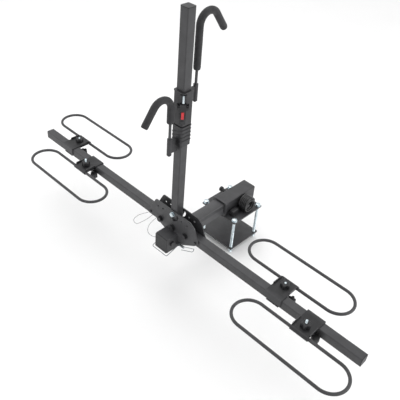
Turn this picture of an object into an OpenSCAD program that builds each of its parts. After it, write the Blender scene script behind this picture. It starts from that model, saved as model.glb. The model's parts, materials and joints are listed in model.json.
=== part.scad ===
// Two-bike platform rack for a vehicle bumper, with a clamp-on receiver.
// Origin: centre of the upper clamp plate's underside, which rests on the bumper. +X runs along
// the beam, +Y towards the vehicle, +Z up. Sizes below are from the centre of the cross beam under
// the mast, and seated() moves every node from there to the origin.

/* [Tubes] */
// Outer width of the square beam and mast tube
tube_w = 34.6; // [34:0.1:35]
// Wall of the beam and mast tube
tube_t = 2.5; // [2:0.1:3]
// Corner radius of the beam and mast tube
tube_r = 4; // [3:0.1:4]
// Outer width of the square shank
shank_w = 50.8; // [50.5:0.1:51]
// Outer width of the square receiver
receiver_w = 63.5; // [63:0.1:65]

/* [Beam] */
// Distance from the centre to each end of the beam
beam_half = 831; // [825:1:850]
// Thickness of a plastic end cap's rim
cap_t = 3; // [2:0.5:4]

/* [Mast] */
// Height of the mast cap above the beam's centre
mast_top = 841; // [835:1:850]
// Height of the mast's fold pivot
pivot_z = 62; // [61:0.5:63]
// Distance from the fold pivot down to the guide bolt
guide_r = 24; // [23:0.5:25]

/* [Hooks] */
// Distance from the mast's centre to a hook's upright rod
hook_y = 54; // [53:0.5:55]
// Diameter of the hook rod
rod_d = 9.5; // [9:0.1:9.6]
// Outer diameter of the foam cover
foam_d = 24.5; // [23:0.5:25]
// Bend radius of a hook's crook
crook_r = 40; // [38:1:42]

/* [Wheel hoops] */
// Diameter of the hoop rod
hoop_d = 11.3; // [11:0.1:12]
// Half length of a hoop's straight runs
hoop_half = 154; // [140:1:158]
// Bend radius of a hoop's ends
hoop_r = 60.7; // [58:0.1:61]
// Distance from the beam's centre to a hoop's inner run
hoop_y = 72; // [71.5:0.5:73]

/* [Bumper clamp] */
// Width of the clamp plates across the vehicle
plate_w = 182; // [180:1:190]
// Length of the clamp plates
plate_l = 176; // [172:1:180]
// Clear height between the clamp plates
clamp_gap = 138; // [120:1:142]

/* [Hidden] */
$fn = 48;

half_tube = tube_w / 2;
face = half_tube + 0.325; // inner faces of what grips the beam or the mast
steel_t = 4;
plate_out = face + steel_t; // outer faces of the centre plates
far = 2000;

// hitch side
shank_z = -47.5;
shank_t = 4.8;
receiver_y0 = 248;
receiver_y1 = 432;
receiver_t = 5.8;
shank_y1 = 426;
receiver_bottom = shank_z - receiver_w / 2;
clamp_t = 6;
clamp_y = receiver_y0 - 4 + plate_l / 2;
clamp_z0 = receiver_bottom - clamp_t - clamp_gap; // top face of the lower plate
bolt_x = plate_w / 2 - 11;
bolt_y = plate_l / 2 - 13;
bolt_r = 6;
pivot_r = 6; // tilt pivot and bracket bolts
mast_bolt_r = 5;
edge_bolt_r = 3;
bracket_x = [3, 70, -64];
edge_x = [-122, 122];
pin_y = 342;
pin_r = 7.9;
coil_x0 = 36;
coil_y = 350;
coil_r_out = 34.5;
coil_wall = 16;
coil_len = 48;
pin_x0 = -72;
pin_x1 = 78;
padlock_x = 48;
padlock_y = 302;
padlock_l = 32;
padlock_w = 20;
padlock_h = 26;
shackle_half = 6;
shackle_r = 2.2;

// tilt joint
tilt_y = -50;
channel_y0 = -74;
channel_y1 = 24;
channel_in = shank_w / 2 + 1;
channel_out = channel_in + 4.6;
channel_top = shank_z + shank_w / 2 + 0.5;
channel_bottom = -84;
lock_dy = 31; // lock pin's place from the tilt pivot
lock_dz = -17.5;
lock_r = 5;
tilt_max = 35;
clip_x = channel_out + 26;
bail_tip = 18;
bail_r = 1.5;
bail_l = 69;
bail_bend = 6;
bail_eye = 4;
eye_wall = 2.7; // outer radius of the bail's eye beyond the lock pin's
clip_r = 1.4;
clip_l = 85;
clip_bend = 7;

// mast and sleeves
mast_bottom = pivot_z - guide_r - 12;
sleeve_half = 23;
sleeve_r = 6;
upper_z0 = 450;
upper_z1 = 572;
lower_z0 = 369;
lower_z1 = 446;
post_d = 35; // latch post's distance from the mast's axis, along the corner
post_r = 4.2;
button_half = 4.5;
lever_x = 33.4; // inner faces of the latch levers, along the corner
latch_x = 36.5; // latch pivots' distance from the mast's axis, along the corner
upper_latch_z = 524;
lower_latch_z = 408.5;
upper_lug_y = 17.3;
lower_lug_y = 15.3;
trunnion_r = 2;
socket_r = 8.5;
crook_turn = 145.65; // how far a hook's crook turns
upper_bend_z = 766;
lower_bend_z = 523;
leg = 67;
upper_foot_z = 510;
lower_foot_z = 339;
upper_foam_z = 625;
lower_foam_z = 468;
foam_end = 4;
bend_thin = 0.2; // how much a rod thins where it is bent
far_tip = 36.5;
near_tip = 50;

// hoop carriers
saddle_half = 35;
saddle_t = 3;
stud_y = 44;
stud_r = 4;
hoop_z = face - hoop_d / 2 - 0.2;
hoop_under = hoop_z - hoop_d / 2;
left_far_x = -671;
left_near_x = -505;
right_far_x = 486;
right_near_x = 636;

// cord routes, each by its points
lanyard_d = 2;
left_lanyard_path = [[-128, -19, -8], [-138, -25, -16], [-156, -31, -30], [-176, -34, -48],
    [-196, -35, -72], [-208, -35, -92], [-206, -34, -106], [-194, -32, -108], [-178, -31, -94],
    [-158, -30, -72], [-138, -30, -50], [-124, -28, -32], [-114, -25, -18], [-108, -19, -8]];
right_lanyard_path = [[-84, -19, -6], [-90, -25, -16], [-102, -33, -36], [-110, -38, -54],
    [-114, -42, -72], [-112, -44, -88], [-102, -42, -99], [-88, -36, -103], [-72, -28, -98],
    [-60, -22, -86], [-52, -19, -74], [-48, -19, -70]];

module rsq(w, h, r) {
    square([w, h - 2 * r], center = true);
    square([w - 2 * r, h], center = true);
    for (sx = [-1, 1], sy = [-1, 1])
        translate([sx * (w / 2 - r), sy * (h / 2 - r)]) circle(r);
}

module box_tube(w, t, r, l) {
    linear_extrude(l) difference() {
        rsq(w, w, r);
        rsq(w - 2 * t, w - 2 * t, max(r - t, 0.8));
    }
}

module seated() translate([0, -clamp_y, clamp_t - receiver_bottom]) children();
module along_y() rotate([-90, 0, 0]) children();
module along_x() rotate([0, 90, 0]) children();

module hex_bolt(r, af, head_h, l) {
    cylinder(r = af / 2 / cos(30), h = head_h, $fn = 6);
    translate([0, 0, -l]) cylinder(r = r, h = l + head_h / 2);
}

module hex_nut(r, af, h) {
    difference() {
        cylinder(r = af / 2 / cos(30), h = h, $fn = 6);
        translate([0, 0, -1]) cylinder(r = r, h = h + 2);
    }
}

// round bar bent about the Z axis, starting on +X unless told where
module turn(r, d, angle, start = 0) {
    rotate_extrude(angle = angle, start = start) translate([r, 0]) circle(d = d);
}

module ring(r_in, r_out, h) {
    difference() {
        cylinder(r = r_out, h = h);
        translate([0, 0, -1]) cylinder(r = r_in, h = h + 2);
    }
}

// ---- hitch side ----
module receiver_tube() {
    color("dimgray") seated() difference() {
        union() {
            translate([0, receiver_y0, shank_z]) along_y()
                box_tube(receiver_w, receiver_t, 5, receiver_y1 - receiver_y0);
            translate([0, receiver_y0 - 2, shank_z]) along_y()
                box_tube(receiver_w + 5, receiver_t + 2.5, 7, 10);
        }
        translate([-50, pin_y, shank_z]) along_x() cylinder(r = pin_r + 0.1, h = 100);
        translate([-50, receiver_y0 - 10, receiver_bottom - 10]) cube([100, 30, 10]);
    }
}

module clamp_plate(z) {
    difference() {
        translate([0, clamp_y, z]) linear_extrude(clamp_t) rsq(plate_w, plate_l, 3);
        for (sx = [-1, 1], sy = [-1, 1])
            translate([sx * bolt_x, clamp_y + sy * bolt_y, z - 1])
                cylinder(r = bolt_r + 0.6, h = clamp_t + 2);
    }
}

module upper_clamp_plate() color("dimgray") seated() clamp_plate(receiver_bottom - clamp_t);
module lower_clamp_plate() color("dimgray") seated() clamp_plate(clamp_z0 - clamp_t);

module at_clamp_bolts(z) {
    for (sx = [-1, 1], sy = [-1, 1])
        translate([sx * bolt_x, clamp_y + sy * bolt_y, z]) children();
}

module clamp_bolts() {
    color("silver") seated() at_clamp_bolts(receiver_bottom + 2.5)
        hex_bolt(bolt_r, 19, 8, 2.5 + clamp_t * 2 + clamp_gap + 22);
}

module clamp_washers() {
    color("silver") seated() at_clamp_bolts(receiver_bottom) ring(bolt_r + 0.5, 12, 2.5);
}

module clamp_nuts() {
    color("silver") seated() at_clamp_bolts(clamp_z0 - clamp_t - 10) hex_nut(bolt_r + 0.08, 19, 10);
}

module hitch_pin() {
    color([0.12, 0.12, 0.12]) seated() translate([0, pin_y, shank_z]) {
        translate([pin_x0, 0, 0]) along_x() cylinder(r = pin_r, h = pin_x1 - pin_x0);
        translate([pin_x0 - 8, 0, 0]) along_x() cylinder(r = 11, h = 9);
    }
}

module shank() {
    color("dimgray") seated() difference() {
        union() {
            translate([0, tilt_y, shank_z]) along_y() box_tube(shank_w, shank_t, 4, shank_y1 - tilt_y);
            intersection() {
                translate([0, tilt_y - 6, shank_z]) along_y() box_tube(shank_w, shank_t, 4, 6);
                translate([-40, tilt_y, shank_z]) along_x() cylinder(r = shank_w / 2, h = 80);
            }
        }
        translate([-40, tilt_y, shank_z]) along_x() cylinder(r = pivot_r + 0.08, h = 80);
        translate([-50, pin_y, shank_z]) along_x() cylinder(r = pin_r + 0.1, h = 100);
        translate([-40, tilt_y, shank_z]) along_x() tilt_slot(80);
    }
}

// slot about the tilt pivot that the lock pin travels in, extruded along Z before turning
module tilt_slot(h) {
    r = sqrt(lock_dy * lock_dy + lock_dz * lock_dz);
    a = atan2(lock_dz, lock_dy);
    w = lock_r + 0.4;
    // after along_x, local X points down and local Y towards the vehicle
    rotate([0, 0, 90 + a]) {
        for (t = [0, tilt_max]) rotate([0, 0, t]) translate([r, 0, 0]) cylinder(r = w, h = h);
        linear_extrude(h) intersection() {
            difference() {
                circle(r + w);
                circle(r - w);
            }
            polygon([[0, 0], [far, 0], [far * cos(tilt_max), far * sin(tilt_max)]]);
        }
    }
}

// the coiled lock cable stands on the upper clamp plate, with the hitch pin through its middle
module lock_cable_coil() {
    color([0.1, 0.1, 0.1]) seated() translate([coil_x0, coil_y, receiver_bottom + coil_r_out]) along_x()
        rotate_extrude() translate([coil_r_out - coil_wall, 0]) square([coil_wall, coil_len]);
}

// lies on the upper clamp plate, with its shackle through the cable's end loops
module cable_padlock() {
    color([0.15, 0.15, 0.15]) seated() translate([padlock_x, padlock_y, receiver_bottom + padlock_h / 2]) {
        rotate([90, 0, 0]) linear_extrude(padlock_l) rsq(padlock_w, padlock_h, 4);
        for (s = [-1, 1]) translate([s * shackle_half, -2, 0]) along_y() cylinder(r = shackle_r, h = 16);
        translate([0, 14, 0]) turn(shackle_half, 2 * shackle_r, 180);
    }
}

// ---- platform ----
module tilt_channel() {
    color("dimgray") seated() difference() {
        translate([-channel_out, channel_y0, channel_bottom])
            cube([2 * channel_out, channel_y1 - channel_y0, channel_top + steel_t - channel_bottom]);
        translate([-channel_in, channel_y0 - 1, channel_bottom - 1])
            cube([2 * channel_in, channel_y1 - channel_y0 + 2, channel_top - channel_bottom + 1]);
        translate([-50, tilt_y, shank_z]) along_x() cylinder(r = pivot_r + 0.05, h = 100);
        translate([-50, tilt_y + lock_dy, shank_z + lock_dz]) along_x()
            cylinder(r = lock_r + 0.05, h = 100);
    }
}

module channel_cap() {
    color([0.15, 0.15, 0.15]) seated() translate([0, channel_y0 - 4, (channel_top + 4 + channel_bottom) / 2])
        along_y() linear_extrude(4) rsq(2 * channel_out, channel_top + 4 - channel_bottom, 4);
}

module plate_outline() {
    offset(r = 9, $fn = 32) offset(delta = -9)
        polygon([[-141, -12], [-94, 78], [92, 78], [114, 62], [128, 24], [140, 6], [120, -16],
            [62, -52], [20, -58], [-41, -32], [-90, -12]]);
}

module centre_plate(y) {
    difference() {
        translate([0, y + steel_t, 0]) rotate([90, 0, 0]) linear_extrude(steel_t) plate_outline();
        translate([-channel_out, y - 1, channel_bottom])
            cube([2 * channel_out, steel_t + 2, channel_top + steel_t - channel_bottom]);
        translate([0, y - 1, 0]) along_y() plate_holes(steel_t + 2);
    }
}

// after along_y, local Y points down
module plate_holes(h) {
    for (p = [[-79, 52], [-53, 54], [47, 54], [76, 52]])
        translate([p[0], -p[1], 0]) cylinder(r = 4.5, h = h);
    for (x = bracket_x) translate([x, 0, 0]) cylinder(r = pivot_r + 0.05, h = h);
    for (x = edge_x) translate([x, 0, 0]) cylinder(r = edge_bolt_r + 0.05, h = h);
    translate([0, -pivot_z, 0]) cylinder(r = mast_bolt_r + 0.05, h = h);
    slot_half = mast_bolt_r + 0.3;
    translate([0, -pivot_z, 0]) {
        for (fold = [0, 90]) rotate([0, 0, fold])
            translate([guide_r, 0, 0]) cylinder(r = slot_half, h = h);
        linear_extrude(h) intersection() {
            difference() {
                circle(guide_r + slot_half);
                circle(guide_r - slot_half);
            }
            square(60);
        }
    }
}

module front_plate() color("dimgray") seated() centre_plate(-plate_out);
module back_plate() color([0.2, 0.2, 0.2]) seated() centre_plate(face);

module arm(x0, x1, holes) {
    difference() {
        translate([x0, 0, 0]) along_x() box_tube(tube_w, tube_t, tube_r, x1 - x0);
        for (x = holes) translate([x, -20, 0]) along_y() cylinder(r = 6.4, h = 40);
    }
}

module left_arm() color("dimgray") seated() arm(-beam_half + cap_t, -22, [-64, -122]);
module right_arm() color("dimgray") seated() arm(-18, beam_half - cap_t, [3, 70, 122]);

module tube_cap() {
    linear_extrude(cap_t) rsq(tube_w, tube_w, tube_r);
    plug_w = tube_w - 2 * tube_t - 0.4;
    translate([0, 0, -16]) linear_extrude(16) rsq(plug_w, plug_w, 1);
}

module arm_end_caps() {
    color([0.12, 0.12, 0.12]) seated() for (s = [-1, 1])
        translate([s * (beam_half - cap_t), 0, 0]) rotate([0, s * 90, 0]) tube_cap();
}

module bracket_bolts() {
    color([0.15, 0.15, 0.15]) seated() {
        for (x = bracket_x) translate([x, -plate_out, 0]) rotate([90, 0, 0]) {
            cylinder(r = 13, h = 2.5);
            translate([0, 0, 2.5]) hex_bolt(pivot_r, 19, 9, 2 * plate_out + 14);
        }
        for (x = edge_x) translate([x, -plate_out, 0]) rotate([90, 0, 0])
            hex_bolt(edge_bolt_r, 10, 4, 2 * plate_out + 7);
    }
}

module bracket_nuts() {
    color([0.15, 0.15, 0.15]) seated() {
        for (x = bracket_x) translate([x, plate_out, 0]) along_y() hex_nut(pivot_r + 0.05, 19, 10);
        for (x = edge_x) translate([x, plate_out, 0]) along_y() hex_nut(edge_bolt_r + 0.05, 10, 5);
    }
}

module tilt_pivot_bolt() {
    color([0.15, 0.15, 0.15]) seated() translate([0, tilt_y, shank_z]) {
        translate([channel_out, 0, 0]) along_x() hex_bolt(pivot_r, 19, 8, 2 * channel_out + 12);
        translate([-channel_out - 10, 0, 0]) along_x() hex_nut(pivot_r + 0.05, 19, 10);
    }
}

module lock_pin() {
    color("silver") seated() translate([0, tilt_y + lock_dy, shank_z + lock_dz]) difference() {
        union() {
            translate([-channel_out - 16, 0, 0]) along_x() cylinder(r = lock_r, h = 2 * channel_out + 50);
            translate([-channel_out - 22, 0, 0]) along_x() cylinder(r = 8, h = 8);
        }
        translate([clip_x, 0, 0]) rotate([90, 0, 90]) rotate([0, 0, -40]) translate([-20, 0, 0])
            along_x() cylinder(r = clip_r + 0.1, h = 40);
    }
}

// bent wire with one leg through the lock pin, its loop hanging down towards the vehicle
module hairpin_clip() {
    color("silver") seated() translate([clip_x, tilt_y + lock_dy, shank_z + lock_dz])
        rotate([90, 0, 90]) rotate([0, 0, -40]) {
            translate([-12, 0, 0]) along_x() cylinder(r = clip_r, h = clip_l + 12);
            translate([8, -2 * clip_bend, 0]) along_x() cylinder(r = clip_r, h = clip_l - 8);
            translate([clip_l, -clip_bend, 0]) rotate([0, 0, -90]) turn(clip_bend, 2 * clip_r, 180);
        }
}

// one bent wire with an eye at each end, turning on the lock pin; drawn flat, then tipped down
module wire_bail() {
    x = channel_out + 9;
    color("silver") seated() translate([0, tilt_y + lock_dy, shank_z + lock_dz]) rotate([bail_tip, 0, 0]) {
        for (s = [-1, 1]) {
            translate([s * x - bail_eye / 2, 0, 0]) along_x() ring(lock_r + 0.3, lock_r + eye_wall, bail_eye);
            translate([s * x, bail_bend - bail_l, 0]) along_y()
                cylinder(r = bail_r, h = bail_l - bail_bend - lock_r - 2);
        }
        for (s = [0, 1]) mirror([s, 0, 0]) translate([bail_bend - x, bail_bend - bail_l, 0])
            rotate([0, 0, 180]) turn(bail_bend, 2 * bail_r, 90);
        translate([bail_bend - x, -bail_l, 0]) along_x() cylinder(r = bail_r, h = 2 * (x - bail_bend));
    }
}

// tube of eight sides swept along a route, with mitred rings
function unit(v) = v / norm(v);
function route_dir(p, i) =
    unit(p[min(i + 1, len(p) - 1)] - p[max(i - 1, 0)]);
function route_side(p, i) = unit(cross(route_dir(p, i), [0.13, 0.97, 0.21]));
function route_ring(p, i, r) =
    let (s = route_side(p, i), t = cross(route_dir(p, i), s))
    [for (k = [0:7]) p[i] + r * (cos(45 * k) * s + sin(45 * k) * t)];

module swept(p, d) {
    n = len(p);
    points = [for (i = [0:n - 1]) each route_ring(p, i, d / 2)];
    faces = concat(
        [[for (k = [0:7]) k]],
        [[for (k = [7:-1:0]) (n - 1) * 8 + k]],
        [for (i = [0:n - 2], k = [0:7])
            [i * 8 + k, (i + 1) * 8 + k, (i + 1) * 8 + (k + 1) % 8, i * 8 + (k + 1) % 8]]);
    polyhedron(points, faces, convexity = 4);
}

module left_lanyard() color("lightgray") seated() swept(left_lanyard_path, lanyard_d);
module right_lanyard() color("lightgray") seated() swept(right_lanyard_path, lanyard_d);

// ---- mast ----
module mast() {
    color("dimgray") seated() difference() {
        translate([0, 0, mast_bottom]) box_tube(tube_w, tube_t, tube_r, mast_top - cap_t - mast_bottom);
        for (z = [pivot_z, pivot_z - guide_r])
            translate([0, -20, z]) along_y() cylinder(r = mast_bolt_r + 0.07, h = 40);
    }
}

module mast_cap() color([0.12, 0.12, 0.12]) seated() translate([0, 0, mast_top - cap_t]) tube_cap();

module mast_pivot_bolt() {
    color("silver") seated() {
        translate([0, -plate_out - 2, pivot_z]) rotate([90, 0, 0])
            hex_bolt(mast_bolt_r, 16, 6, 2 * plate_out + 14);
        translate([0, -plate_out - 2, pivot_z]) along_y() ring(mast_bolt_r + 0.03, 10, 2);
        translate([0, plate_out, pivot_z]) along_y() hex_nut(mast_bolt_r + 0.03, 16, 8);
    }
}

module mast_guide_bolt() {
    color([0.15, 0.15, 0.15]) seated() {
        translate([0, -plate_out - 0.4, pivot_z - guide_r]) rotate([90, 0, 0])
            hex_bolt(mast_bolt_r, 14, 5, 2 * plate_out + 10);
        translate([0, plate_out + 0.4, pivot_z - guide_r]) along_y() hex_nut(mast_bolt_r + 0.03, 14, 7);
    }
}

module sleeve_shell(z0, z1) {
    translate([0, 0, z0]) linear_extrude(z1 - z0) difference() {
        rsq(2 * sleeve_half, 2 * sleeve_half, sleeve_r);
        rsq(2 * face, 2 * face, tube_r);
    }
    // rim at the upper mouth
    translate([0, 0, z1 - 4]) linear_extrude(4) difference() {
        rsq(2 * sleeve_half + 3, 2 * sleeve_half + 3, sleeve_r + 1.5);
        rsq(2 * face, 2 * face, tube_r);
    }
}

// rod socket beside a sleeve, joined to it by a web; s is the side it stands on
module socket(s, z0, z1) {
    translate([0, s * hook_y, z0]) ring(rod_d / 2 + 0.08, socket_r, z1 - z0);
    translate([-4, s > 0 ? sleeve_half - 1 : -hook_y + socket_r - 1.5, z0 + 6])
        cube([8, hook_y - sleeve_half - socket_r + 2.5, z1 - z0 - 12]);
}

module at_corner(a, z) translate([0, 0, z]) rotate([0, 0, a]) children();

// housing on a sleeve's corner that carries the latch; local +X points out of the corner
module latch_housing(h) {
    translate([21, -11, 0]) cube([12, 22, h]);
}

// two lugs that hold a lever's trunnions, y_in apart from the middle
module latch_lugs(y_in, z) {
    for (s = [-1, 1]) translate([12, s > 0 ? y_in : -y_in - 2, z - 4.5]) cube([28, 2, 9]);
}

module trunnion(r, y_in, z) {
    translate([latch_x, -y_in - 2, z]) along_y() cylinder(r = r, h = 2 * y_in + 4);
}

module upper_sleeve() {
    color([0.25, 0.25, 0.25]) seated() difference() {
        union() {
            sleeve_shell(upper_z0, upper_z1);
            socket(1, 514, 574);
            at_corner(-45, 462) latch_housing(104);
            at_corner(-45, 470) translate([32, 0, 0]) along_x() cylinder(r = 5, h = 3);
            at_corner(-45, 0) latch_lugs(upper_lug_y, upper_latch_z);
        }
        translate([0, 0, upper_z0 - 1]) linear_extrude(200) rsq(2 * face, 2 * face, tube_r);
        at_corner(-45, 0) {
            trunnion(trunnion_r + 0.05, upper_lug_y + 1, upper_latch_z);
            translate([27, -12, 511]) cube([8, 24, 30]);
            latch_post(0.05);
        }
    }
}

module latch_post(gap) {
    translate([post_d, 0, 541]) cylinder(r1 = post_r + gap, r2 = post_r - 1 + gap, h = 26);
}

module upper_latch_post() color("silver") seated() at_corner(-45, 0) latch_post(0);

module upper_latch_lever() {
    color([0.08, 0.08, 0.08]) seated() at_corner(-45, 0) {
        difference() {
            union() {
                translate([lever_x, -upper_lug_y + 0.3, 519]) cube([9, 2 * upper_lug_y - 0.6, 9]);
                translate([lever_x, -10, 512]) cube([9, 20, 26]);
                translate([lever_x, -9, 482]) cube([3, 18, 32]);
            }
            translate([33, -button_half - 0.4, 485.6]) cube([12, 2 * button_half + 0.8, 25.8]);
        }
        trunnion(trunnion_r, upper_lug_y, upper_latch_z);
    }
}

module upper_latch_button() {
    color("crimson") seated() at_corner(-45, 486) translate([36.6, -button_half, 0])
        cube([7, 2 * button_half, 25]);
}

module lower_sleeve() {
    color([0.25, 0.25, 0.25]) seated() difference() {
        union() {
            sleeve_shell(lower_z0, lower_z1);
            socket(-1, 343, 407);
            at_corner(135, 376) latch_housing(56);
            at_corner(135, 0) latch_lugs(lower_lug_y, lower_latch_z);
            for (k = [0:3]) lower_rib(380 + 14 * k);
        }
        translate([0, 0, lower_z0 - 40]) linear_extrude(200) rsq(2 * face, 2 * face, tube_r);
        at_corner(135, 0) {
            trunnion(trunnion_r + 0.05, lower_lug_y + 1, lower_latch_z);
            translate([28, -12, 398]) cube([8, 24, 20]);
        }
    }
}

// raised band round the sleeve that climbs towards +X
module lower_rib(z) {
    intersection() {
        translate([0, 0, z]) rotate([0, -18, 0])
            translate([-sleeve_half - 3, -sleeve_half - 1.5, 0])
                cube([2 * sleeve_half + 8, 2 * sleeve_half + 3, 4]);
        translate([0, 0, lower_z0]) linear_extrude(lower_z1 - lower_z0 - 4)
            rsq(2 * sleeve_half + 3, 2 * sleeve_half + 3, sleeve_r + 1.5);
    }
}

module lower_latch_lever() {
    color([0.08, 0.08, 0.08]) seated() at_corner(135, 0) {
        translate([lever_x, -lower_lug_y + 0.3, 404]) cube([8, 2 * lower_lug_y - 0.6, 9]);
        translate([lever_x, -8, 380]) cube([5, 16, 30]);
        trunnion(trunnion_r, lower_lug_y, lower_latch_z);
    }
}

// a hook on the +Y side: up from z0 to zc, round the crook, then down the leg; drawn flat with
// local X as Y and local Y as Z. lap runs the straights, wider by slack, into the crook
module hook_path(d, z0, zc, leg_l, slack = 0, lap = 0) {
    translate([0, hook_y + crook_r, zc]) rotate([90, 0, 90]) {
        translate([-crook_r, z0 - zc, 0]) rotate([-90, 0, 0]) cylinder(d = d + slack, h = zc - z0 + lap);
        turn(crook_r, d, crook_turn, 180 - crook_turn);
        rotate([0, 0, 180 - crook_turn]) translate([crook_r, lap, 0]) rotate([90, 0, 0])
            cylinder(d = d + slack, h = leg_l + lap);
    }
}

// foam cover over a hook, from z0 up, closed at the leg's end
module hook_foam(z0, zc) {
    difference() {
        hook_path(foam_d, z0, zc, leg);
        hook_path(rod_d + 0.2, z0 - 10, zc, leg - foam_end, 0.6, 1);
    }
}

module upper_hook() color([0.12, 0.12, 0.12]) seated() {
    hook_path(rod_d - bend_thin, upper_foot_z, upper_bend_z, leg - foam_end - 1, bend_thin, 1);
}

module upper_hook_foam() color([0.2, 0.2, 0.2]) seated() hook_foam(upper_foam_z, upper_bend_z);

module lower_hook() color([0.12, 0.12, 0.12]) seated() mirror([0, 1, 0]) {
    hook_path(rod_d - bend_thin, lower_foot_z, lower_bend_z, leg - foam_end - 1, bend_thin, 1);
}

module lower_hook_foam() color([0.2, 0.2, 0.2]) seated() mirror([0, 1, 0]) {
    hook_foam(lower_foam_z, lower_bend_z);
}

// ---- hoop carriers: s is +1 on the vehicle side of the beam and -1 on the other ----
module at_carrier(x, s) seated() translate([x, 0, 0]) mirror([0, s < 0 ? 1 : 0, 0]) children();

// bent plate over the beam, hooked down its far face, with ribs and a curl over the hoop
module saddle() {
    color("dimgray") difference() {
        union() {
            translate([-saddle_half, -face - saddle_t, face])
                cube([2 * saddle_half, hoop_y + face + saddle_t, saddle_t]);
            translate([-saddle_half, -face - saddle_t, -10])
                cube([2 * saddle_half, saddle_t, face + 10 + saddle_t]);
            for (sx = [-1, 1]) translate([sx * (saddle_half - 1.5) - 1.5, face + 6, face + saddle_t - 0.5])
                cube([3, hoop_y - face - 10, 7]);
            translate([-saddle_half, hoop_y, hoop_z]) along_x() curl(2 * saddle_half);
        }
        translate([0, stud_y, 0]) cylinder(r = stud_r + 0.3, h = 60);
    }
}

// after along_x, local X points down and local Y away from the beam
module curl(h) {
    linear_extrude(h) intersection() {
        difference() {
            circle(hoop_d / 2 + 0.2 + saddle_t);
            circle(hoop_d / 2 + 0.2);
        }
        translate([-20, 0]) square([34, 20]);
    }
}

// stepped plate that grips the beam and the hoop from below, with its moulded grip block
module jaw() {
    difference() {
        color([0.15, 0.15, 0.15]) union() {
            translate([-26, -face, -face - 3]) cube([52, 2 * face + 6, 3]);
            translate([-26, face + 3, -face - 3]) cube([52, 3, face + 3 + hoop_under - 0.2]);
            translate([-26, face + 3, hoop_under - 3.2]) cube([52, hoop_y - face - 3, 3]);
        }
        translate([0, stud_y, -30]) cylinder(r = stud_r + 0.3, h = 60);
    }
    color([0.1, 0.1, 0.1]) {
        translate([40, stud_y - 8, -24]) star(15, 20, 0);
        translate([20, face + 3, -face - 3]) cube([24, 8, face - 1]);
    }
}

// five-lobed knob body; bore 0 leaves it solid
module star(r, h, bore) {
    linear_extrude(h) difference() {
        union() {
            circle(r * 0.72);
            for (k = [0:4]) rotate(72 * k + 25) translate([r * 0.64, 0]) circle(r * 0.36);
        }
        if (bore > 0) circle(bore);
    }
}

module carriage_bolt(tip) {
    color("silver") translate([0, stud_y, 0]) {
        translate([0, 0, hoop_under - 7.2]) cylinder(r = 8, h = 4);
        translate([0, 0, hoop_under - 5]) cylinder(r = stud_r, h = tip - hoop_under + 5);
    }
}

module knob(h) {
    color([0.08, 0.08, 0.08]) translate([0, stud_y, face + saddle_t + 0.4]) star(18, h, stud_r + 0.08);
}

module hoop() {
    color([0.15, 0.15, 0.15]) translate([0, hoop_y + hoop_r, hoop_z]) {
        for (s = [-1, 1]) {
            translate([-hoop_half, s * hoop_r, 0]) along_x() cylinder(d = hoop_d, h = 2 * hoop_half);
            translate([s * hoop_half, 0, 0]) rotate([0, 0, -90 * s]) turn(hoop_r, hoop_d, 180);
        }
    }
}

module left_far_saddle() at_carrier(left_far_x, 1) saddle();
module left_far_jaw() at_carrier(left_far_x, 1) jaw();
module left_far_bolt() at_carrier(left_far_x, 1) carriage_bolt(far_tip);
module left_far_knob() at_carrier(left_far_x, 1) knob(14);
module left_far_hoop() at_carrier(left_far_x, 1) hoop();

module left_near_saddle() at_carrier(left_near_x, -1) saddle();
module left_near_jaw() at_carrier(left_near_x, -1) jaw();
module left_near_bolt() at_carrier(left_near_x, -1) carriage_bolt(near_tip);
module left_near_knob() at_carrier(left_near_x, -1) knob(18);
module left_near_hoop() at_carrier(left_near_x, -1) hoop();

module right_far_saddle() at_carrier(right_far_x, 1) saddle();
module right_far_jaw() at_carrier(right_far_x, 1) jaw();
module right_far_bolt() at_carrier(right_far_x, 1) carriage_bolt(far_tip);
module right_far_knob() at_carrier(right_far_x, 1) knob(14);
module right_far_hoop() at_carrier(right_far_x, 1) hoop();

module right_near_saddle() at_carrier(right_near_x, -1) saddle();
module right_near_jaw() at_carrier(right_near_x, -1) jaw();
module right_near_bolt() at_carrier(right_near_x, -1) carriage_bolt(near_tip);
module right_near_knob() at_carrier(right_near_x, -1) knob(18);
module right_near_hoop() at_carrier(right_near_x, -1) hoop();

receiver_tube();
upper_clamp_plate();
lower_clamp_plate();
clamp_bolts();
clamp_washers();
clamp_nuts();
hitch_pin();
shank();
lock_cable_coil();
cable_padlock();
tilt_channel();
channel_cap();
front_plate();
back_plate();
left_arm();
right_arm();
arm_end_caps();
bracket_bolts();
bracket_nuts();
tilt_pivot_bolt();
lock_pin();
hairpin_clip();
wire_bail();
left_lanyard();
right_lanyard();
mast();
mast_cap();
mast_pivot_bolt();
mast_guide_bolt();
upper_sleeve();
upper_latch_post();
upper_latch_lever();
upper_latch_button();
lower_sleeve();
lower_latch_lever();
upper_hook();
upper_hook_foam();
lower_hook();
lower_hook_foam();
left_far_saddle();
left_far_jaw();
left_far_bolt();
left_far_knob();
left_far_hoop();
left_near_saddle();
left_near_jaw();
left_near_bolt();
left_near_knob();
left_near_hoop();
right_far_saddle();
right_far_jaw();
right_far_bolt();
right_far_knob();
right_far_hoop();
right_near_saddle();
right_near_jaw();
right_near_bolt();
right_near_knob();
right_near_hoop();
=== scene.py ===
import json
import math

import bmesh
import bpy
from mathutils import Matrix, Vector


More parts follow.
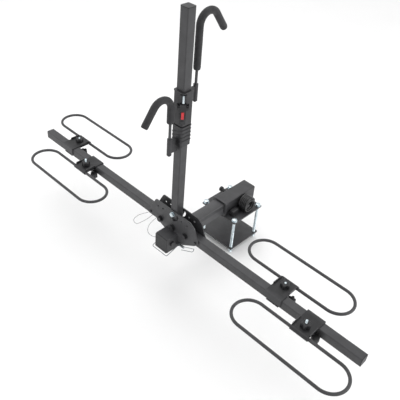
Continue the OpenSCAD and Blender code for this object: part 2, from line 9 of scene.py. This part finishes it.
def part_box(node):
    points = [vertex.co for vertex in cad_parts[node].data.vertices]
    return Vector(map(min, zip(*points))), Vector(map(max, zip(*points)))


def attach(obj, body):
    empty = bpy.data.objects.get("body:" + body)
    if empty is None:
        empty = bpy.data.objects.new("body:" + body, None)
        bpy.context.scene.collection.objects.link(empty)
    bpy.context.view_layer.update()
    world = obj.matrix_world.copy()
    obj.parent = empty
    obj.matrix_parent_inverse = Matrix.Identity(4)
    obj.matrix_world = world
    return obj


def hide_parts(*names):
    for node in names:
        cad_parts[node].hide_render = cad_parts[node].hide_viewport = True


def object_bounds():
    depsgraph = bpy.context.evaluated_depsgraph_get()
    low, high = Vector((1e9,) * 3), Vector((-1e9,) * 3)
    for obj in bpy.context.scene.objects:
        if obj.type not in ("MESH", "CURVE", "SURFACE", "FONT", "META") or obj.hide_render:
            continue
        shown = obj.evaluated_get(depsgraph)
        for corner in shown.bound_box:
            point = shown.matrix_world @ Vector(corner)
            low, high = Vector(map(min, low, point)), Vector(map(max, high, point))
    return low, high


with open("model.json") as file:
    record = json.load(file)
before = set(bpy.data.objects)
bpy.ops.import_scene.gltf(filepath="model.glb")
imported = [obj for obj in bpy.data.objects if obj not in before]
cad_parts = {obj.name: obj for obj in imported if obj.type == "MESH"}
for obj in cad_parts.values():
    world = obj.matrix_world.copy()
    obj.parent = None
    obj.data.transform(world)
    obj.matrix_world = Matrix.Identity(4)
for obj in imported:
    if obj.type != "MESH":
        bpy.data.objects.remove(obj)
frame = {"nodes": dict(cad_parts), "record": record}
cad_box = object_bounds()

MM = 0.001
BEAM = Vector((0, -0.332, 0.08525))  # centre of the cross beam under the mast, from the origin
CARRIERS = ("left_far", "left_near", "right_far", "right_near")
BODY_OF = {n: b for b, nodes in frame["record"]["behaviour"]["bodies"].items() for n in nodes}
SLOT_OF = {s["node"]: s["material_slot"] for s in frame["record"]["subparts"]}


# ---- camera ----
def make_camera(azimuth, elevation, roll, distance, target, lens):
    a, e, r = (math.radians(v) for v in (azimuth, elevation, roll))
    back = Vector((math.sin(a) * math.cos(e), -math.cos(a) * math.cos(e), math.sin(e)))
    right = Vector((math.cos(a), math.sin(a), 0))
    up = back.cross(right)
    x_axis = math.cos(r) * right + math.sin(r) * up
    y_axis = -math.sin(r) * right + math.cos(r) * up
    data = bpy.data.cameras.new("camera")
    data.sensor_width, data.lens = 36, lens
    data.clip_start, data.clip_end = 0.05, 50
    camera = bpy.data.objects.new("camera", data)
    bpy.context.collection.objects.link(camera)
    turned = Matrix((x_axis, y_axis, back)).transposed().to_4x4()
    camera.matrix_world = Matrix.Translation(target + back * distance) @ turned
    bpy.context.scene.camera = camera


make_camera(azimuth=41.33, elevation=38.91, roll=5.04, distance=2.17896,
            target=BEAM + Vector((0, 0.12402, 0.05286)), lens=50.535)


# ---- materials ----
def ramp(nodes, links, source, low, high, start=0.3, end=0.7):
    node = nodes.new("ShaderNodeValToRGB")
    node.color_ramp.elements[0].position, node.color_ramp.elements[1].position = start, end
    node.color_ramp.elements[0].color = (*low, 1)
    node.color_ramp.elements[1].color = (*high, 1)
    links.new(source, node.inputs["Fac"])
    return node.outputs["Color"]


def remap(nodes, links, source, low, high):
    node = nodes.new("ShaderNodeMapRange")
    node.inputs["To Min"].default_value, node.inputs["To Max"].default_value = low, high
    links.new(source, node.inputs["Value"])
    return node.outputs["Result"]


def noise(nodes, links, where, scale, detail=4.0, stretch=None):
    if stretch:
        mapping = nodes.new("ShaderNodeMapping")
        mapping.inputs["Scale"].default_value = stretch
        links.new(where, mapping.inputs["Vector"])
        where = mapping.outputs["Vector"]
    node = nodes.new("ShaderNodeTexNoise")
    node.inputs["Scale"].default_value, node.inputs["Detail"].default_value = scale, detail
    links.new(where, node.inputs["Vector"])
    return node.outputs["Fac"]


RELIEF_DEPTH = 0.0004  # depth of the grain, in metres
WORN_FROM, WORN_TO = 0.53, 0.62  # how pointed an edge is where its paler colour starts and is full


def surface(name, low, high, rough, grain, bump, metallic=0.0, blotch=35, wear=None,
            stretch=None, coat=0.0, cells=False, sheen=0.0):
    """A finish with blotchy colour, uneven roughness, a grain bump and, with wear, paler edges."""
    material = bpy.data.materials.new(name)
    material.use_nodes = True
    nodes, links = material.node_tree.nodes, material.node_tree.links
    shader = nodes["Principled BSDF"]
    where = nodes.new("ShaderNodeTexCoord").outputs["Object"]
    colour = ramp(nodes, links, noise(nodes, links, where, blotch, 6, stretch), low, high)
    if wear:
        edge = nodes.new("ShaderNodeNewGeometry").outputs["Pointiness"]
        worn = nodes.new("ShaderNodeMix")
        worn.data_type = "RGBA"
        share = ramp(nodes, links, edge, (0, 0, 0), (1, 1, 1), WORN_FROM, WORN_TO)
        links.new(share, worn.inputs["Factor"])
        links.new(colour, worn.inputs["A"])
        worn.inputs["B"].default_value = (*wear, 1)
        colour = worn.outputs["Result"]
    links.new(colour, shader.inputs["Base Color"])
    links.new(remap(nodes, links, noise(nodes, links, where, blotch * 3, 5, stretch), *rough),
              shader.inputs["Roughness"])
    if cells:
        cell = nodes.new("ShaderNodeTexVoronoi")
        cell.inputs["Scale"].default_value = grain
        links.new(where, cell.inputs["Vector"])
        height = cell.outputs["Distance"]
    else:
        height = noise(nodes, links, where, grain, 3, stretch)
    relief = nodes.new("ShaderNodeBump")
    relief.inputs["Strength"].default_value = bump
    relief.inputs["Distance"].default_value = RELIEF_DEPTH
    links.new(height, relief.inputs["Height"])
    links.new(relief.outputs["Normal"], shader.inputs["Normal"])
    shader.inputs["Metallic"].default_value = metallic
    shader.inputs["Coat Weight"].default_value = coat
    shader.inputs["Sheen Weight"].default_value = sheen
    return material


MATERIALS = {
    "black_powder_coat": surface("black_powder_coat", (0.024, 0.024, 0.026), (0.038, 0.038, 0.041),
                                 (0.40, 0.56), 900, 0.22, wear=(0.062, 0.062, 0.066), coat=0.05),
    "zinc_steel": surface("zinc_steel", (0.50, 0.58, 0.62), (0.74, 0.82, 0.85), (0.20, 0.38),
                          700, 0.14, metallic=1.0, blotch=60),
    "bright_wire": surface("bright_wire", (0.20, 0.21, 0.22), (0.42, 0.44, 0.46), (0.24, 0.40),
                           800, 0.10, metallic=1.0, blotch=80),
    "lanyard_wire": surface("lanyard_wire", (0.16, 0.17, 0.17), (0.34, 0.35, 0.36), (0.32, 0.48),
                            1500, 0.35, metallic=0.9, blotch=200),
    "foam": surface("foam", (0.018, 0.018, 0.020), (0.036, 0.036, 0.038), (0.84, 0.96), 1300, 0.60,
                    cells=True, sheen=0.10, blotch=50),
    "red_plastic": surface("red_plastic", (0.46, 0.010, 0.018), (0.62, 0.022, 0.030), (0.28, 0.42),
                           700, 0.10, coat=0.2),
    "black_plastic": surface("black_plastic", (0.007, 0.007, 0.008), (0.014, 0.014, 0.016),
                             (0.42, 0.60), 1400, 0.28, wear=(0.030, 0.030, 0.032)),
    "cable_vinyl": surface("cable_vinyl", (0.005, 0.005, 0.006), (0.011, 0.011, 0.012),
                           (0.26, 0.40), 500, 0.10, coat=0.10),
    "ratchet_plastic": surface("ratchet_plastic", (0.016, 0.016, 0.018), (0.028, 0.028, 0.031),
                               (0.44, 0.60), 1200, 0.30, wear=(0.050, 0.050, 0.054)),
    "black_steel": surface("black_steel", (0.010, 0.010, 0.011), (0.022, 0.022, 0.024),
                           (0.32, 0.48), 800, 0.15, metallic=0.3, wear=(0.08, 0.08, 0.085)),
}


# ---- how a piece is made and takes its place ----
def finished(obj, *nodes, body=None):
    """Gives a piece its body, finish and slot from the CAD nodes that it stands for."""
    slot = SLOT_OF[nodes[0]]
    obj.data.materials.clear()
    obj.data.materials.append(MATERIALS[slot])
    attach(obj, body or BODY_OF[nodes[0]])
    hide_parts(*nodes)
    return obj


def mesh_object(name, bm, smooth_under=35):
    bmesh.ops.recalc_face_normals(bm, faces=bm.faces)
    for edge in bm.edges:
        edge.smooth = not edge.is_manifold or edge.calc_face_angle(0) < math.radians(smooth_under)
    for face in bm.faces:
        face.smooth = True
    mesh = bpy.data.meshes.new(name)
    bm.to_mesh(mesh)
    bm.free()
    obj = bpy.data.objects.new(name, mesh)
    bpy.context.collection.objects.link(obj)
    return obj


WELD = 2e-6  # vertices closer than this are one
COPLANAR, SHARP = math.radians(1), math.radians(40)


def softened(node, width):
    """A CAD node's own shape with its triangles joined into faces and its sharp edges rounded."""
    bm = bmesh.new()
    bm.from_mesh(frame["nodes"][node].data)
    bmesh.ops.remove_doubles(bm, verts=bm.verts, dist=WELD)
    bmesh.ops.dissolve_limit(bm, angle_limit=COPLANAR, verts=bm.verts, edges=bm.edges)
    sharp = [e for e in bm.edges if e.is_manifold and e.calc_face_angle(0) > SHARP]
    bmesh.ops.bevel(bm, geom=sharp, offset=width, segments=2, profile=0.6,
                    affect="EDGES", clamp_overlap=True)
    obj = mesh_object(node + "_shaped", bm)
    obj.modifiers.new("weighted", "WEIGHTED_NORMAL").keep_sharp = True
    return finished(obj, node)


def skin(bm, rings, closed=False):
    """Faces between rings of vertices. The two ends are shut unless the rings form a loop."""
    sides = len(rings[0])
    pairs = list(zip(rings, rings[1:])) + ([(rings[-1], rings[0])] if closed else [])
    for one, two in pairs:
        for k in range(sides):
            bm.faces.new((one[k], one[(k + 1) % sides], two[(k + 1) % sides], two[k]))
    if not closed:
        bm.faces.new(reversed(rings[0]))
        bm.faces.new(rings[-1])


def round_angles(sides):
    return [2 * math.pi * k / sides for k in range(sides)]


def frames(points, closed):
    """A direction and two sides at each point, carried along the route without twisting."""
    count = len(points)
    side, out = None, []
    for i in range(count):
        before = points[i - 1] if closed or i else points[0]
        after = points[(i + 1) % count] if closed or i < count - 1 else points[-1]
        ahead = (after - before).normalized()
        if side is None:
            side = ahead.orthogonal().normalized()
        side = (side - ahead * side.dot(ahead)).normalized()
        out.append((ahead, side, ahead.cross(side)))
    return out


def swept(name, points, radii, sides=16, closed=False):
    """A round bar along points. radii is one radius, or one for each point."""
    radii = [radii] * len(points) if isinstance(radii, float) else radii
    bm, rings = bmesh.new(), []
    for point, radius, (_, side, other) in zip(points, radii, frames(points, closed)):
        rings.append([bm.verts.new(point + radius * (math.cos(t) * side + math.sin(t) * other))
                      for t in round_angles(sides)])
    skin(bm, rings, closed)
    return mesh_object(name, bm, 50)


def arc(centre, u, v, radius, start, end, steps):
    """Points on a circle, from start to end degrees, measured from u towards v."""
    angles = [math.radians(start + (end - start) * k / steps) for k in range(steps + 1)]
    return [centre + radius * (math.cos(a) * u + math.sin(a) * v) for a in angles]


def smooth_route(points, between=5):
    """A Catmull-Rom curve through the points."""
    padded = [2 * points[0] - points[1]] + list(points) + [2 * points[-1] - points[-2]]
    out = []
    for a, b, c, d in zip(padded, padded[1:], padded[2:], padded[3:]):
        for k in range(between):
            t = k / between
            out.append(0.5 * (2 * b + (c - a) * t + (2 * a - 5 * b + 4 * c - d) * t ** 2
                              + (3 * b - a - 3 * c + d) * t ** 3))
    return out + [points[-1]]


def route_length(points):
    return sum((b - a).length for a, b in zip(points, points[1:]))


def mm(*values):
    return Vector(values) * MM


# ---- cords ----
LEFT_LANYARD = [(-128, -19, -8), (-138, -25, -16), (-156, -31, -30), (-176, -34, -48),
                (-196, -35, -72), (-208, -35, -92), (-206, -34, -106), (-194, -32, -108),
                (-178, -31, -94), (-158, -30, -72), (-138, -30, -50), (-124, -28, -32),
                (-114, -25, -18), (-108, -19, -8)]
RIGHT_LANYARD = [(-84, -19, -6), (-90, -25, -16), (-102, -33, -36), (-110, -38, -54),
                 (-114, -42, -72), (-112, -44, -88), (-102, -42, -99), (-88, -36, -103),
                 (-72, -28, -98), (-60, -22, -86), (-52, -19, -74), (-48, -19, -70)]


LANYARD_D = 2 * MM
CABLE_D = 8 * MM


def lanyard(node, route):
    points = smooth_route([BEAM + mm(*p) for p in route])
    piece = finished(swept(node + "_wire", points, LANYARD_D / 2, 8), node)


def lock_cable():
    """Two layers of turns about the hitch pin's line: out along the outer, back along the inner."""
    low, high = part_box("lock_cable_coil")
    centre_y, centre_z = (low.y + high.y) / 2, (low.z + high.z) / 2
    turns = round((high.x - low.x) / CABLE_D) - 1
    outer = (high.y - low.y) / 2 - CABLE_D / 2
    inner = outer - CABLE_D
    start, steps = -130, 24  # degrees where the winding starts, and points in each turn
    near = low.x + CABLE_D / 2
    far = near + turns * CABLE_D
    lead_y, lead_z = 0.98 * outer, 0.72 * outer  # from the middle to the end that leaves the coil
    points = [Vector((near, centre_y - lead_y, centre_z - lead_z))]

    def at(angle, radius, x):
        a = math.radians(angle)
        return Vector((x, centre_y + radius * math.cos(a), centre_z + radius * math.sin(a)))

    count = turns * steps
    for k in range(count + 1):
        points.append(at(start + 360 * k / steps, outer, near + (far - near) * k / count))
    for k in range(1, steps // 2 + 1):
        share = k / (steps // 2)
        points.append(at(start + 180 * share, outer - CABLE_D * share, far))
    for k in range(1, count + 1):
        points.append(at(start + 180 + 360 * k / steps, inner, far - (far - near) * k / count))
    cable = finished(swept("lock_cable", points, CABLE_D / 2, 14), "lock_cable_coil")
    padlock = softened("cable_padlock", 0.8 * MM)


lanyard("left_lanyard", LEFT_LANYARD)
lanyard("right_lanyard", RIGHT_LANYARD)
lock_cable()


# ---- hooks ----
def foam_cover(node, side):
    """Foam over a hook: rounded at both ends and a little uneven along its length."""
    low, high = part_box(node)
    radius, bend, leg = 12.25 * MM, 40 * MM, 67 * MM
    turn = 145.65  # degrees that the crook turns
    rod_y = 54 * MM  # from the mast's middle to the upright rod
    rounding = 3 * MM  # length over which an end is rounded
    end_share, rounding_share = 0.88, 0.11  # of the radius, at the very end and gained past it
    ripple_share, ripple_rate = 0.008, 90  # of the radius, and radians to the metre
    y_axis, up = Vector((0, side, 0)), Vector((0, 0, 1))
    rod = Vector((0, BEAM.y + side * rod_y, 0))
    crook_z = high.z - bend - radius
    centre = rod + y_axis * bend + up * crook_z
    crook = arc(centre, y_axis, up, bend, 180, 180 - turn, 40)
    tip = (crook[-1] - crook[-2]).normalized()
    straight = [rod + up * (low.z + (crook_z - low.z) * k / 24) for k in range(24)]
    down = [crook[-1] + tip * (leg * k / 12) for k in range(1, 13)]
    points = straight + crook + down
    run, total, radii = 0.0, route_length(points), []
    for k, point in enumerate(points):
        run += (point - points[k - 1]).length if k else 0.0
        end = min(run, total - run) / rounding
        shoulder = math.sqrt(max(0.0, 1 - (1 - min(end, 1)) ** 2))
        ripple = ripple_share * math.sin(run * ripple_rate)
        radii.append(radius * (end_share + rounding_share * shoulder + ripple))
    return finished(swept(node + "_cover", points, radii, 32), node)


foam_cover("upper_hook_foam", 1)
foam_cover("lower_hook_foam", -1)


# ---- wheel hoops and bent wires ----
def hoop(carrier):
    node = carrier + "_hoop"
    low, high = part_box(node)
    centre = (low + high) / 2
    bar = (high.z - low.z) / 2
    bend = (high.y - low.y) / 2 - bar
    half = (high.x - low.x) / 2 - bend - bar
    x, y = Vector((1, 0, 0)), Vector((0, 1, 0))
    points = arc(centre + half * x, x, y, bend, -90, 90, 40)
    points += arc(centre - half * x, x, y, bend, 90, 270, 40)
    finished(swept(node + "_rod", points, bar, 20, closed=True), node)


for carrier in CARRIERS:
    hoop(carrier)


# ---- threads and knobs ----
def threaded(name, base, length, radius, pitch):
    """A screwed rod: its radius follows a thread that climbs one pitch in each turn."""
    sides, per_pitch, depth = 20, 4, 0.55 * pitch
    bm, rings = bmesh.new(), []
    levels = int(length / pitch * per_pitch)
    for i in range(levels + 1):
        z, ring = length * i / levels, []
        for k, a in enumerate(round_angles(sides)):
            phase = (z / pitch - k / sides) % 1
            r = radius - depth * abs(2 * phase - 1)
            ring.append(bm.verts.new(base + Vector((r * math.cos(a), r * math.sin(a), z))))
        rings.append(ring)
    skin(bm, rings)
    return mesh_object(name, bm, 60)


def lathe(name, centre, profile, sides, shape=lambda angle, place: 1):
    """Rings of (radius, height), each radius scaled by shape(angle, ring's place from 0 to 1)."""
    bm, rings = bmesh.new(), []
    for i, (radius, height) in enumerate(profile):
        ring, place = [], i / (len(profile) - 1)
        for a in round_angles(sides):
            r = radius * shape(a, place)
            ring.append(bm.verts.new(centre + Vector((r * math.cos(a), r * math.sin(a), height))))
        rings.append(ring)
    skin(bm, rings)
    return mesh_object(name, bm)


def knob(carrier):
    """Five-lobed knob with a dished top round its stud."""
    node = carrier + "_knob"
    low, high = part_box(node)
    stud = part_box(carrier + "_bolt")
    centre = Vector(((stud[0].x + stud[1].x) / 2, (stud[0].y + stud[1].y) / 2, low.z))
    r, h = (high.x - low.x) / 2, high.z - low.z
    shares = [(0.90, 0), (1, 0.09), (1, 0.72), (0.95, 0.88), (0.84, 0.97),
              (0.62, 1), (0.50, 0.99), (0.42, 0.90), (0.36, 0.90)]
    profile = [(across * r, up * h) for across, up in shares]

    lobe_count, lobe_depth = 5, 0.13
    dish_starts, dish_blend = 0.62, 0.25  # where the lobes fade into the round dish

    def lobes(angle, place):
        grip = 1 - lobe_depth * (1 - math.cos(lobe_count * angle))
        if place < dish_starts:
            return grip
        return grip + (1 - grip) * min(1, (place - dish_starts) / dish_blend)

    finished(lathe(node + "_moulded", centre, profile, 90, lobes), node)


def hex_head(name, base, half, height):
    """Hexagon half wide from its middle to a flat, its corners cut down towards a round top."""
    sides, top = 72, 0.95 * half
    corner_drop = 0.55

    def flat(a):
        return half / math.cos((a % (math.pi / 3)) - math.pi / 6)

    angles = round_angles(sides)
    rings = [[(flat(a), 0) for a in angles],
             [(flat(a), height - (flat(a) - top) * corner_drop) for a in angles],
             [(top, height)] * sides]
    bm = bmesh.new()
    verts = [[bm.verts.new(base + Vector((r * math.cos(a), r * math.sin(a), z)))
              for a, (r, z) in zip(angles, ring)] for ring in rings]
    skin(bm, verts)
    return mesh_object(name, bm)


def clamp_bolts():
    """Four long bolts: hex head, plain neck and a screwed lower part."""
    low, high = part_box("clamp_bolts")
    washer_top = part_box("clamp_washers")[1].z
    half_corners, half_flats = 11 * MM, 9.5 * MM
    screw_r, neck_r, pitch = 6 * MM, 5.9 * MM, 1.75 * MM
    threaded_share = 0.62
    split = low.z + threaded_share * (washer_top - low.z)
    places = [(x, y) for x in (low.x + half_corners, high.x - half_corners)
              for y in (low.y + half_flats, high.y - half_flats)]
    for i, (x, y) in enumerate(places):
        rod = threaded(f"clamp_bolt_thread_{i}", Vector((x, y, low.z)), split - low.z,
                       screw_r, pitch)
        finished(rod, "clamp_bolts")
        neck = lathe(f"clamp_bolt_neck_{i}", Vector((x, y, split)),
                     [(neck_r, 0), (neck_r, washer_top - split)], 32)
        finished(neck, "clamp_bolts")
        head = hex_head(f"clamp_bolt_head_{i}", Vector((x, y, washer_top)), half_flats,
                        high.z - washer_top)
        finished(head, "clamp_bolts")


def stud(carrier):
    """Carriage bolt: domed head below and a screwed stud up through the knob."""
    node = carrier + "_bolt"
    low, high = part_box(node)
    centre = Vector(((low.x + high.x) / 2, (low.y + high.y) / 2, low.z))
    head, screw_r, pitch = 4 * MM, 4 * MM, 1.25 * MM
    piece = threaded(node + "_thread", centre + Vector((0, 0, head)), high.z - low.z - head,
                     screw_r, pitch)
    finished(piece, node)
    r = (high.x - low.x) / 2
    dome = [(r * math.cos(t), head * (1 - math.sin(t)))
            for t in (math.radians(degrees) for degrees in range(80, -1, -10))]
    finished(lathe(node + "_head", centre, dome + [(r, head)], 32), node)


for carrier in CARRIERS:
    knob(carrier)
    stud(carrier)
clamp_bolts()

# ---- pressed, sawn and moulded pieces, edges rounded ----
EDGES = {  # width of the rounding in millimetres, and the pieces that have it
    0.3: ["clamp_washers"],
    0.4: ["left_arm", "right_arm", "mast", "mast_pivot_bolt", "mast_guide_bolt",
          "upper_latch_post"],
    0.5: ["clamp_nuts", "bracket_bolts", "bracket_nuts", "tilt_pivot_bolt"]
         + [carrier + part for carrier in CARRIERS for part in ("_saddle", "_jaw")],
    0.6: ["shank", "front_plate", "back_plate", "upper_sleeve", "upper_latch_lever",
          "lower_sleeve", "lower_latch_lever"],
    0.7: ["upper_clamp_plate", "lower_clamp_plate", "lock_pin"],
    0.8: ["receiver_tube", "hitch_pin", "tilt_channel", "upper_latch_button"],
    0.9: ["arm_end_caps", "mast_cap"],
    1.2: ["channel_cap"],
}
for width, nodes in EDGES.items():
    for node in nodes:
        softened(node, width * MM)

# what is left of the CAD model keeps its shape and gets its finish
for node, obj in frame["nodes"].items():
    if not obj.hide_render:
        obj.data.materials.clear()
        obj.data.materials.append(MATERIALS[SLOT_OF[node]])


# ---- stage ----
def floor():
    gap = 1 * MM  # under the object's lowest point
    bm = bmesh.new()
    bmesh.ops.create_grid(bm, x_segments=1, y_segments=1, size=12)
    obj = mesh_object("floor", bm)
    obj.location.z = cad_box[0].z - gap
    material = surface("floor", (0.86, 0.86, 0.86), (0.88, 0.88, 0.88), (0.7, 0.8), 20, 0.02,
                       blotch=2)
    obj.data.materials.append(material)


LIT_POINT = Vector((0, -0.2, 0.2))


def area_light(name, place, size, power):
    data = bpy.data.lights.new(name, "AREA")
    data.shape, data.size, data.energy = "DISK", size, power
    light = bpy.data.objects.new(name, data)
    bpy.context.collection.objects.link(light)
    light.location = place
    aim = LIT_POINT - Vector(place)
    light.rotation_euler = aim.to_track_quat("-Z", "Y").to_euler()


floor()
world = bpy.data.worlds.new("studio")
bpy.context.scene.world = world
world.use_nodes = True
world.node_tree.nodes["Background"].inputs["Color"].default_value = (1, 1, 1, 1)
world.node_tree.nodes["Background"].inputs["Strength"].default_value = 1.0
bpy.context.scene.view_settings.view_transform = "Standard"
area_light("key", (-1.2, 0.6, 3.2), size=2.4, power=26)
area_light("side", (2.8, 1.2, 1.6), size=2.0, power=30)
area_light("fill", (-2.6, -1.8, 1.4), size=2.4, power=10)
